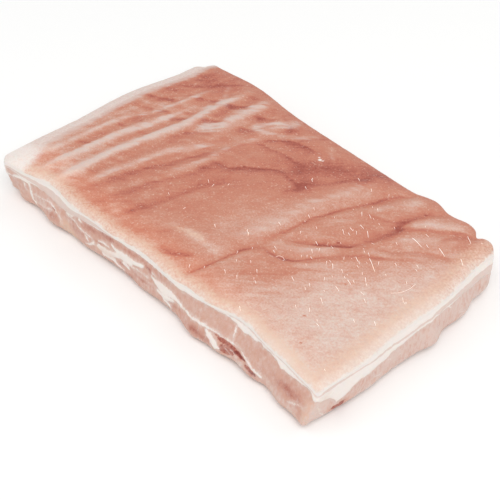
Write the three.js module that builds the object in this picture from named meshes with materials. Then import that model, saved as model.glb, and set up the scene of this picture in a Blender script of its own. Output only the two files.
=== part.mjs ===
// A slab of raw pork belly, skin side up: one solid piece of meat.
// Millimetres, +Z up, the long side along X, the origin under the middle of the piece.
import * as THREE from 'three';
import { mergeVertices } from 'three/addons/utils/BufferGeometryUtils.js';

// Driving dimensions
const slab = { length: 352, width: 206, thickness: 38 };
const cells = { along: 52, across: 30, up: 6 };
const footRadius = 6.5; // the rounded lower edge
const edgeReach = 45; // how far in from an edge its waves die out
const crowding = 1.5; // power that crowds the wall's rows towards the lower edge
const leanSpan = 0.87; // share of the wall's height over which it reaches its full lean
const pointsPerSpan = 12; // on a fold's curve, between two of its named places
const arch = { height: 2.2, reach: 34, wave: 23, waveShare: 0.45 }; // the underside lifts near its rim

const cornerRadius = { frontLeft: 9, backLeft: 14, backRight: 12, frontRight: 4 };

// Each edge of the skin: offset and slant of the straight line, then lobes [place, reach, height]
const rim = {
  front: {
    offset: 2,
    slant: 6.5,
    lobes: [[-115, 30, 8], [-60, 22, 3.5], [-5, 32, 7], [45, 16, 4.5], [95, 30, 10], [140, 20, 3]],
  },
  back: { offset: 3, slant: -3, lobes: [[-110, 40, 6], [105.5, 14, 5.2], [140.5, 11.5, 4], [155, 3.5, -3.6]] },
  left: { offset: -6, slant: 2, lobes: [[-60, 35, -2.5], [20, 45, -6.5], [75, 25, 2]] },
  right: { offset: -12, slant: -3.5, lobes: [[-60, 35, 4.5], [25, 45, 5], [70, 20, -2]] },
};

// How far the foot of each cut wall stands in (+) or out (-) of the skin's edge
const wall = {
  front: {
    lean: -4,
    lobes: [[-168, 12, 8.5], [-142, 15, 3], [-112, 15, -5], [-85, 14, 2], [-35, 24, 3], [-5, 15, -2.5],
      [22, 14, 1], [55, 16, -6], [86, 16, -8.5], [112, 15, -7], [147, 15, -6], [176, 14, -6.5]],
  },
  right: {
    lean: -2,
    lobes: [[-98, 16, 4], [-72, 18, 1.2], [-8, 18, -2.5], [14, 11, -5], [56, 15, -4], [84, 10, -2]],
  },
  back: { lean: 3, lobes: [[-90, 25, 3], [-20, 30, -4], [60, 28, 3]] },
  left: { lean: 3, lobes: [[-50, 25, 3], [10, 25, -3], [60, 20, 2]] },
};

// The skin rolls over along each edge: how wide and how deep
const roll = {
  front: { width: 7, drop: 2.5 },
  right: { width: 9, drop: 3 },
  back: { width: 16, drop: 3 },
  left: { width: 20, drop: 5 },
};

// Broad swellings and hollows of the skin: centre x, y, reach x, y and height
const swells = [
  [-170, 0, 70, 140, -1.5],
  [95, -100, 45, 70, 1.5],
  [10, 20, 80, 60, 1.5],
  [175, -100, 25, 25, -1.5],
  [104, 76, 16, 12, 1.5],
  [72, 10, 18, 26, 1],
  [130, 30, 30, 30, 1],
];

// Folds that run over the skin: ridges stand up, creases sink in
const folds = [
  { height: 1.0, reach: 4.5, path: [[-158, 5], [-160, -40], [-163, -90]] },
  { height: 1.5, reach: 5, path: [[-134, 72], [-138, 50], [-136, 15], [-142, -20], [-144, -85]] },
  { height: 1.8, reach: 6, path: [[-112, 97], [-112, 45], [-118, 0], [-124, -40], [-126, -90]] },
  { height: 1.5, reach: 8, path: [[-88, 98], [-90, 55], [-86, 35], [-94, 0], [-102, -60]] },
  { height: 1.0, reach: 7, path: [[-60, 92], [-62, 55], [-67, 5], [-74, -25]] },
  { height: 1.6, reach: 12, path: [[5, -52], [22, -38], [28, -5], [34, 40], [44, 85]] },
  { height: -1.0, reach: 6, path: [[-68, 36], [-78, 5], [-92, -35], [-103, -75]] },
  { height: -0.9, reach: 5, path: [[-60, 17], [-42, 20], [-28, 34], [-10, 52]] },
  { height: -0.8, reach: 6, path: [[-30, 8], [-43, -22], [-50, -60], [-60, -84]] },
  { height: -2.0, reach: 5, path: [[25, -87], [31, -52], [40, -15], [43, 20], [55, 55], [75, 98]] },
  { height: -1.2, reach: 4.5, path: [[40, -25], [62, -23], [80, -5], [90, 16]] },
  { height: -1.8, reach: 5, path: [[52, -4], [68, 5], [84, 20], [92, 45], [95, 80], [106, 99]] },
  { height: -1.4, reach: 5, path: [[98, 62], [120, 80], [140, 98]] },
  { height: -0.8, reach: 4.5, path: [[100, 33], [122, 50], [145, 66]] },
];

const bump = (t, at, reach) => Math.exp(-(((t - at) / reach) ** 2));
const ease = (t) => THREE.MathUtils.smoothstep(t, 0, 1);

function wander(t, lobes) {
  return lobes.reduce((sum, [at, reach, height]) => sum + height * bump(t, at, reach), 0);
}

// A point near a square corner, given by its distances from the two edges, moves onto the rounded corner.
function roundCorner(dx, dy, radius) {
  const ring = Math.min(dx, dy);
  const left = radius - ring;
  const along = Math.max(dx, dy) - ring;
  if (left <= 0 || along >= left) return [dx, dy];
  const turn = (Math.PI / 4) * (1 - along / left);
  const far = ring + left * (1 - Math.sin(turn));
  const near = ring + left * (1 - Math.cos(turn));
  return dx >= dy ? [far, near] : [near, far];
}

// The plan of the skin: rounds the corners, then pulls the four straight edges onto the wavy rims.
function outline(x, y) {
  const corner = (y > 0 ? 'back' : 'front') + (x > 0 ? 'Right' : 'Left');
  const halfLength = slab.length / 2;
  const halfWidth = slab.width / 2;
  const radius = cornerRadius[corner];
  const [dx, dy] = roundCorner(halfLength - Math.abs(x), halfWidth - Math.abs(y), radius);
  const px = Math.sign(x) * (halfLength - dx);
  const py = Math.sign(y) * (halfWidth - dy);
  const u = px / halfLength;
  const v = py / halfWidth;
  const edge = (side, start, t, along) => start + side.offset + side.slant * t + wander(along, side.lobes);
  const left = edge(rim.left, -halfLength, v, py);
  const right = edge(rim.right, halfLength, v, py);
  const front = edge(rim.front, -halfWidth, u, px);
  const back = edge(rim.back, halfWidth, u, px);
  const across = THREE.MathUtils.lerp(front, back, (v + 1) / 2);
  return [THREE.MathUtils.lerp(left, right, (u + 1) / 2), across];
}

// Distances of a point of the plain block from its four edges
const fromEdges = (x, y) => ({
  left: x + slab.length / 2,
  right: slab.length / 2 - x,
  front: y + slab.width / 2,
  back: slab.width / 2 - y,
});

// The polyline of each fold, made once
const foldLines = folds.map(({ height, reach, path }) => {
  const curve = new THREE.SplineCurve(path.map(([x, y]) => new THREE.Vector2(x, y)));
  return { height, reach, points: curve.getPoints(pointsPerSpan * (path.length - 1)) };
});

// The skin's height at a place in the finished plan, with that point's distances from the edges
function skinHeight(x, y, edges) {
  let z = slab.thickness;
  for (const [atX, atY, reachX, reachY, height] of swells) {
    z += height * bump(x, atX, reachX) * bump(y, atY, reachY);
  }
  const here = new THREE.Vector2(x, y);
  for (const { height, reach, points } of foldLines) {
    const away = Math.min(...points.map((point) => point.distanceTo(here)));
    z += height * bump(away, 0, reach);
  }
  for (const [side, distance] of Object.entries(edges)) {
    const { width, drop } = roll[side];
    if (distance < width) z -= drop * (1 - distance / width) ** 2;
  }
  return z;
}

// The underside is flat in the middle and lifts a little, unevenly, towards its rim.
function undersideLift(x, y, edges) {
  const distance = Math.min(...Object.values(edges));
  const wave = Math.sin((x + y) / arch.wave) * Math.cos((x - y) / arch.wave);
  return arch.height * ease(1 - distance / arch.reach) * (1 - arch.waveShare * (1 - wave));
}

// A point of the plain block, at a share of the height from underside (0) to skin (1), goes to its place.
function place(x, y, share) {
  const edges = fromEdges(x, y);
  const [px, py] = outline(x, y);
  const low = undersideLift(px, py, edges);
  const z = THREE.MathUtils.lerp(low, skinHeight(px, py, edges), share);
  const footShare = Math.max(0, 1 - (z - low) / footRadius);
  const foot = footRadius * (1 - Math.sqrt(1 - footShare ** 2));
  const lower = ease((1 - share) / leanSpan);
  const inward = (side, along) => {
    const fade = ease(1 - edges[side] / edgeReach);
    return fade * ((wall[side].lean + wander(along, wall[side].lobes)) * lower + foot);
  };
  return [px + inward('left', y) - inward('right', y), py + inward('front', x) - inward('back', x), z];
}

function slabGeometry() {
  const block = new THREE.BoxGeometry(slab.length, slab.width, 1, cells.along, cells.across, cells.up);
  block.deleteAttribute('normal');
  block.deleteAttribute('uv');
  const shape = mergeVertices(block);
  const position = shape.attributes.position;
  for (let i = 0; i < position.count; i += 1) {
    const share = (position.getZ(i) + 0.5) ** crowding;
    position.setXYZ(i, ...place(position.getX(i), position.getY(i), share));
  }
  shape.computeBoundingBox();
  const { min, max } = shape.boundingBox;
  shape.translate(-(min.x + max.x) / 2, -(min.y + max.y) / 2, -min.z);
  shape.computeVertexNormals();
  return shape;
}

const meat = new THREE.MeshStandardMaterial({ color: '#d79c85', roughness: 0.5, metalness: 0 });
const porkBelly = new THREE.Mesh(slabGeometry(), meat);
porkBelly.name = 'pork_belly_slab';

const group = new THREE.Group();
group.add(porkBelly);

export default group;
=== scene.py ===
import math
import random
import bpy
import bmesh
import numpy as np
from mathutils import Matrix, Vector, noise
from mathutils.bvhtree import BVHTree


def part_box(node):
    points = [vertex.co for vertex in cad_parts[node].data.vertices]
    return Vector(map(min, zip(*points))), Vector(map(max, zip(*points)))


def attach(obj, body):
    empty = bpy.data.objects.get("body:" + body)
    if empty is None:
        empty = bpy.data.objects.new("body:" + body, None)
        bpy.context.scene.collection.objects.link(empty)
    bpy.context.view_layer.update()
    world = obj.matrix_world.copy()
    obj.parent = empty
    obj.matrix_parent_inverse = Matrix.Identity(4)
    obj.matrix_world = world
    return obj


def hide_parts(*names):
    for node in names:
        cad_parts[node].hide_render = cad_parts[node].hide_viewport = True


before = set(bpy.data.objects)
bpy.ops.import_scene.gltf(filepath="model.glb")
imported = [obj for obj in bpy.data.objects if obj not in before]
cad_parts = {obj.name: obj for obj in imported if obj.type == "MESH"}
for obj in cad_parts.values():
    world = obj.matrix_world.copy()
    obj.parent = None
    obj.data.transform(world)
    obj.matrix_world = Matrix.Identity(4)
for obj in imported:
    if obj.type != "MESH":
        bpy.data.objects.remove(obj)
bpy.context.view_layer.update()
mm = 0.001
print("frame loaded")

# the slab's form, in millimetres before it is centred: the CAD solid's own sizes
slab = {
    "length": 352, "width": 206, "thickness": 38,
    "footRadius": 6.5,  # the rounded lower edge
    "edgeReach": 45,  # how far in from an edge its waves die out
    "leanSpan": 0.87,  # share of the wall's height over which it reaches its full lean
    "cornerRadius": {"frontLeft": 9, "backLeft": 14, "backRight": 12, "frontRight": 4},
    "arch": {"height": 2.2, "reach": 34, "wave": 23, "waveShare": 0.45},
    "perSpan": 8,  # pieces of a curve between two of its places
    # how the CAD solid is cut up, and how its rows crowd towards the foot
    "solidCuts": (52, 30, 6), "solidCrowding": 1.5,
    # each edge of the skin: offset, slant, lobes (place, reach, height)
    "rim": {
        "front": (2, 6.5, [(-115, 30, 8), (-60, 22, 3.5), (-5, 32, 7), (45, 16, 4.5), (95, 30, 10),
                           (140, 20, 3)]),
        "back": (3, -3, [(-110, 40, 6), (105.5, 14, 5.2), (140.5, 11.5, 4), (155, 3.5, -3.6)]),
        "left": (-6, 2, [(-60, 35, -2.5), (20, 45, -6.5), (75, 25, 2)]),
        "right": (-12, -3.5, [(-60, 35, 4.5), (25, 45, 5), (70, 20, -2)]),
    },
    # how far the foot of each cut wall stands in (+) or out (-): lean and lobes
    "wall": {
        "front": (-4, [(-168, 12, 8.5), (-142, 15, 3), (-112, 15, -5), (-85, 14, 2), (-35, 24, 3),
                       (-5, 15, -2.5), (22, 14, 1), (55, 16, -6), (86, 16, -8.5), (112, 15, -7),
                       (147, 15, -6), (176, 14, -6.5)]),
        "right": (-2, [(-98, 16, 4), (-72, 18, 1.2), (-8, 18, -2.5), (14, 11, -5), (56, 15, -4),
                       (84, 10, -2)]),
        "back": (3, [(-90, 25, 3), (-20, 30, -4), (60, 28, 3)]),
        "left": (3, [(-50, 25, 3), (10, 25, -3), (60, 20, 2)]),
    },
    # the skin rolls over along each edge: width and drop
    "roll": {"front": (7, 2.5), "right": (9, 3), "back": (16, 3), "left": (20, 5)},
    # broad swellings: centre, reach, height
    "swells": [(-170, 0, 70, 140, -1.5), (95, -100, 45, 70, 1.5), (10, 20, 80, 60, 1.5),
               (175, -100, 25, 25, -1.5), (104, 76, 16, 12, 1.5), (72, 10, 18, 26, 1),
               (130, 30, 30, 30, 1)],
    # folds of the skin: height, reach, the places it runs through
    "folds": [
        (1.0, 4.5, [(-158, 5), (-160, -40), (-163, -90)]),
        (1.5, 5, [(-134, 72), (-138, 50), (-136, 15), (-142, -20), (-144, -85)]),
        (1.8, 6, [(-112, 97), (-112, 45), (-118, 0), (-124, -40), (-126, -90)]),
        (1.5, 8, [(-88, 98), (-90, 55), (-86, 35), (-94, 0), (-102, -60)]),
        (1.0, 7, [(-60, 92), (-62, 55), (-67, 5), (-74, -25)]),
        (1.6, 12, [(5, -52), (22, -38), (28, -5), (34, 40), (44, 85)]),
        (-1.0, 6, [(-68, 36), (-78, 5), (-92, -35), (-103, -75)]),
        (-0.9, 5, [(-60, 17), (-42, 20), (-28, 34), (-10, 52)]),
        (-0.8, 6, [(-30, 8), (-43, -22), (-50, -60), (-60, -84)]),
        (-2.0, 5, [(25, -87), (31, -52), (40, -15), (43, 20), (55, 55), (75, 98)]),
        (-1.2, 4.5, [(40, -25), (62, -23), (80, -5), (90, 16)]),
        (-1.8, 5, [(52, -4), (68, 5), (84, 20), (92, 45), (95, 80), (106, 99)]),
        (-1.4, 5, [(98, 62), (120, 80), (140, 98)]),
        (-0.8, 4.5, [(100, 33), (122, 50), (145, 66)]),
    ],
}


def bump(t, at, reach):
    return np.exp(-((t - at) / reach) ** 2)


def ease(t):
    t = np.clip(t, 0, 1)
    return t * t * (3 - 2 * t)


def wander(t, lobes):
    return sum(height * bump(t, at, reach) for at, reach, height in lobes)


def smoothPath(path):  # a smooth curve through a few places
    p = np.array([path[0], *path, path[-1]], float)
    t = np.linspace(0, 1, slab["perSpan"], endpoint=False)[:, None]
    spans = [
        0.5 * (2 * b + (c - a) * t + (2 * a - 5 * b + 4 * c - d) * t ** 2 + (3 * b - a - 3 * c + d) * t ** 3)
        for a, b, c, d in zip(p, p[1:], p[2:], p[3:])
    ]
    return np.vstack([*spans, p[-1:]])


# distance to a curve, place along it and side of it, only where within reach
def awayFrom(x, y, path, reach):
    points = smoothPath(path)
    low, high = points.min(0) - reach, points.max(0) + reach
    near = np.flatnonzero((x > low[0]) & (x < high[0]) & (y > low[1]) & (y < high[1]))
    nx, ny = x[near], y[near]
    best, passed, place, onLeft = np.full(nx.shape, 1e3), 0.0, np.zeros(nx.shape), np.zeros(nx.shape, bool)
    for a, b in zip(points, points[1:]):
        along = b - a
        length = math.sqrt(along @ along)
        t = np.clip(((nx - a[0]) * along[0] + (ny - a[1]) * along[1]) / max(length ** 2, 1e-9), 0, 1)
        gap = np.hypot(nx - a[0] - t * along[0], ny - a[1] - t * along[1])
        place = np.where(gap < best, passed + t * length, place)
        onLeft = np.where(gap < best, along[0] * (ny - a[1]) > along[1] * (nx - a[0]), onLeft)
        best = np.minimum(best, gap)
        passed += length
    away, share, leftward = np.full(x.shape, 1e3), np.zeros(x.shape), np.zeros(x.shape, bool)
    away[near], share[near], leftward[near] = best, place / passed, onLeft
    return away, share, leftward


# each mark: amount, reach or (left, right) reach, path; fading thins the ends
def strokes(x, y, marks, fading=0.0):
    total = np.zeros(x.shape)
    for amount, reach, path in marks:
        left, right = reach if isinstance(reach, tuple) else (reach, reach)
        away, share, leftward = awayFrom(x, y, path, 3 * max(left, right))
        ends = ease(np.minimum(share, 1 - share) / fading + 0.15) if fading else 1
        total += amount * ends * bump(away, 0, np.where(leftward, left, right))
    return total


def patches(x, y, marks):  # each mark: centre, reach along x and y, amount
    total = np.zeros(x.shape)
    for atX, atY, reachX, reachY, amount in marks:
        total += amount * bump(x, atX, reachX) * bump(y, atY, reachY)
    return total


def roundCorner(dx, dy, radius):
    ring = np.minimum(dx, dy)
    left = np.maximum(radius - ring, 1e-6)
    along = np.maximum(dx, dy) - ring
    turn = math.pi / 4 * (1 - along / left)
    far = ring + left * (1 - np.sin(turn))
    near = ring + left * (1 - np.cos(turn))
    inside = (ring < radius) & (along < left)
    newX = np.where(inside, np.where(dx >= dy, far, near), dx)
    newY = np.where(inside, np.where(dx >= dy, near, far), dy)
    return newX, newY


def outline(x, y):
    halfLength, halfWidth = slab["length"] / 2, slab["width"] / 2
    r = slab["cornerRadius"]
    radius = np.where(y > 0, np.where(x > 0, r["backRight"], r["backLeft"]),
                      np.where(x > 0, r["frontRight"], r["frontLeft"]))
    dx, dy = roundCorner(halfLength - abs(x), halfWidth - abs(y), radius)
    px, py = np.sign(x) * (halfLength - dx), np.sign(y) * (halfWidth - dy)
    u, v = px / halfLength, py / halfWidth

    def edge(side, start, t, along):
        offset, slant, lobes = slab["rim"][side]
        return start + offset + slant * t + wander(along, lobes)

    left, right = edge("left", -halfLength, v, py), edge("right", halfLength, v, py)
    front, back = edge("front", -halfWidth, u, px), edge("back", halfWidth, u, px)
    return left + (right - left) * (u + 1) / 2, front + (back - front) * (v + 1) / 2


def fromEdges(x, y):
    return {"left": x + slab["length"] / 2, "right": slab["length"] / 2 - x,
            "front": y + slab["width"] / 2, "back": slab["width"] / 2 - y}


def skinHeight(px, py, edges):
    z = slab["thickness"] + patches(px, py, slab["swells"]) + strokes(px, py, slab["folds"])
    for side, distance in edges.items():
        width, drop = slab["roll"][side]
        z -= np.where(distance < width, drop * (1 - distance / width) ** 2, 0)
    return z


def undersideLift(px, py, edges):
    arch = slab["arch"]
    wave = np.sin((px + py) / arch["wave"]) * np.cos((px - py) / arch["wave"])
    nearest = np.minimum.reduce(list(edges.values()))
    return arch["height"] * ease(1 - nearest / arch["reach"]) * (1 - arch["waveShare"] * (1 - wave))


class Form:  # everything known about points of the plain block once they are in their place
    def __init__(self, x, y, depthOf):
        self.edges = fromEdges(x, y)
        self.planX, self.planY = outline(x, y)
        self.low = undersideLift(self.planX, self.planY, self.edges)
        self.top = skinHeight(self.planX, self.planY, self.edges)
        self.depth = depthOf(self.top - self.low)
        self.z = self.top - self.depth
        share = 1 - self.depth / (self.top - self.low)
        footShare = np.clip(1 - (self.z - self.low) / slab["footRadius"], 0, 1)
        foot = slab["footRadius"] * (1 - np.sqrt(1 - footShare ** 2))
        lower = ease((1 - share) / slab["leanSpan"])
        inward = {}
        for side, along in (("left", y), ("right", y), ("front", x), ("back", x)):
            lean, lobes = slab["wall"][side]
            fade = ease(1 - self.edges[side] / slab["edgeReach"])
            inward[side] = fade * ((lean + wander(along, lobes)) * lower + foot)
        self.x = self.planX + inward["left"] - inward["right"]
        self.y = self.planY + inward["front"] - inward["back"]

    def sideShares(self, reach):  # how much each cut wall counts at a point near the outside
        return {side: ease(1 - distance / reach) for side, distance in self.edges.items()}


def formCentre():  # the middle of the form's plan, which the CAD solid puts over its origin
    halfLength, halfWidth = slab["length"] / 2, slab["width"] / 2
    steps = [np.linspace(-1, 1, count + 1) for count in slab["solidCuts"]]
    up = ((steps[2] + 1) / 2) ** slab["solidCrowding"]
    x, y, share = (g.ravel() for g in np.meshgrid(steps[0] * halfLength, steps[1] * halfWidth, up))
    outside = (abs(x) > halfLength - 1e-6) | (abs(y) > halfWidth - 1e-6)
    form = Form(x[outside], y[outside], lambda height: height * (1 - share[outside]))
    return (form.x.min() + form.x.max()) / 2, (form.y.min() + form.y.max()) / 2


low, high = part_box("pork_belly_slab")
centreX, centreY = formCentre()
shiftX = (low.x + high.x) / 2 / mm - centreX
shiftY = (low.y + high.y) / 2 / mm - centreY


def roughness(x, y, z, size, seed=0.0):  # smooth noise between about -1 and 1
    return np.array([noise.noise(Vector((a / size + seed, b / size, c / size))) for a, b, c in zip(x, y, z)])


def streaks(x, y, turn, long, short, seed):  # noise drawn out along a direction in plan
    u, v = x * math.cos(turn) + y * math.sin(turn), y * math.cos(turn) - x * math.sin(turn)
    return roughness(u * short / long, v, 0 * x, short, seed)


# building blocks
def cutBlock(bm, cuts):  # slices a unit cube across X, Y and Z
    for axis, count in enumerate(cuts):
        edges = [e for e in bm.edges if abs(e.verts[0].co[axis] - e.verts[1].co[axis]) > 1e-5]
        bmesh.ops.subdivide_edges(bm, edges=edges, cuts=count - 1, use_grid_fill=True)


def halve(bm, faces):  # cuts the given faces in four
    edges = list({e for f in faces for e in f.edges})
    bmesh.ops.subdivide_edges(bm, edges=edges, cuts=1, use_grid_fill=True)


def sharpen(bm, up):  # keeps the rim of the block's upper (up = 1) or lower (up = -1) side crisp
    for edge in bm.edges:
        slopes = [f.normal.z * up for f in edge.link_faces]
        edge.smooth = not (max(slopes) > 0.5 and min(slopes) < 0.5)


def finishPiece(name, bm, material, smooth=True):
    mesh = bpy.data.meshes.new(name)
    bm.to_mesh(mesh)
    bm.free()
    piece = bpy.data.objects.new(name, mesh)
    bpy.context.scene.collection.objects.link(piece)
    mesh.materials.append(material)
    mesh.polygons.foreach_set("use_smooth", [smooth] * len(mesh.polygons))
    return piece


def coordinates(mesh):
    co = np.zeros(len(mesh.vertices) * 3)
    mesh.vertices.foreach_get("co", co)
    return co.reshape(-1, 3)


def keep(mesh, name, values):  # one number for each vertex, for the materials to read
    layer = mesh.attributes.new(name, "FLOAT", "POINT")
    layer.data.foreach_set("value", np.asarray(values, np.float32))


# shader maths: sockets that can be added, multiplied and mixed like numbers
class Value:
    def __init__(self, shader, socket):
        self.shader, self.socket = shader, socket

    def maths(self, operation, *inputs):
        return self.shader.node("ShaderNodeMath", {"operation": operation}, dict(enumerate(inputs)))

    def __add__(self, other):
        return self.maths("ADD", self, other)

    def __sub__(self, other):
        return self.maths("SUBTRACT", self, other)

    def __mul__(self, other):
        return self.maths("MULTIPLY", self, other)

    def __rsub__(self, other):
        return self.maths("SUBTRACT", other, self)

    __radd__, __rmul__ = __add__, __mul__

    def atMost(self, other):
        return self.maths("MINIMUM", self, other)

    def step(self, start, end):  # 0 before start, 1 after end, smooth between
        sockets = {"Value": self, "From Min": start, "From Max": end}
        return self.shader.node("ShaderNodeMapRange", {"interpolation_type": "SMOOTHSTEP"}, sockets)


class Shader:
    def __init__(self, name):
        self.material = bpy.data.materials.new(name)
        self.material.use_nodes = True
        self.tree = self.material.node_tree
        self.tree.nodes.clear()

    def node(self, kind, settings=None, sockets=None, output=0):
        made = self.tree.nodes.new(kind)
        for key, value in (settings or {}).items():
            if key == "stops":
                self.fillRamp(made.color_ramp, value)
            else:
                setattr(made, key, value)
        for key, value in (sockets or {}).items():
            if isinstance(value, Value):
                self.tree.links.new(value.socket, made.inputs[key])
            else:
                made.inputs[key].default_value = value
        return Value(self, made.outputs[output]) if len(made.outputs) else made

    def fillRamp(self, ramp, stops):
        for i, (place, colour) in enumerate(stops):
            stop = ramp.elements[i] if i < 2 else ramp.elements.new(place)
            stop.position, stop.color = place, colour

    def kept(self, name):
        return self.node("ShaderNodeAttribute", {"attribute_name": name}, output="Fac")

    def place(self):
        return self.node("ShaderNodeTexCoord", output="Object")

    # noise about 0, its size in mm
    def grain(self, size, turn=0.0, tilt=0.0, stretch=(1, 1, 1), detail=2.0, rough=0.5):
        scale = tuple(1 / (size * mm * s) for s in stretch)
        turned = self.node("ShaderNodeMapping", sockets={"Vector": self.place(), "Rotation": (tilt, 0, turn)})
        sized = self.node("ShaderNodeVectorMath", {"operation": "MULTIPLY"}, {0: turned, 1: scale})
        sockets = {"Vector": sized, "Scale": 1.0, "Detail": detail, "Roughness": rough}
        return self.node("ShaderNodeTexNoise", sockets=sockets) - 0.5

    def ramp(self, value, stops):
        return self.node("ShaderNodeValToRGB", {"stops": stops}, {"Fac": value})

    def mix(self, share, first, second, blend="MIX"):
        settings = {"data_type": "RGBA", "blend_type": blend}
        return self.node("ShaderNodeMix", settings, {0: share, 6: first, 7: second}, output=2)

    def bump(self, height, strength, distance):
        sockets = {"Height": height, "Strength": strength, "Distance": distance * mm}
        return self.node("ShaderNodeBump", sockets=sockets)

    def finish(self, **sockets):
        surface = self.node("ShaderNodeBsdfPrincipled", sockets=sockets)
        self.node("ShaderNodeOutputMaterial", sockets={"Surface": surface})
        return self.material


def linear(part):
    return part / 12.92 if part <= 0.04045 else ((part + 0.055) / 1.055) ** 2.4


# a lit colour, 0 to 255, and the share of it that is the surface's own
def colour(red, green, blue, share=0.92):
    return tuple(share * linear(part / 255) for part in (red, green, blue)) + (1.0,)


# what the wet rind and the wet flesh have in common
moist = {"Subsurface Weight": 0.15, "Subsurface Radius": (1.0, 0.45, 0.3), "Subsurface Scale": 0.003}


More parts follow.
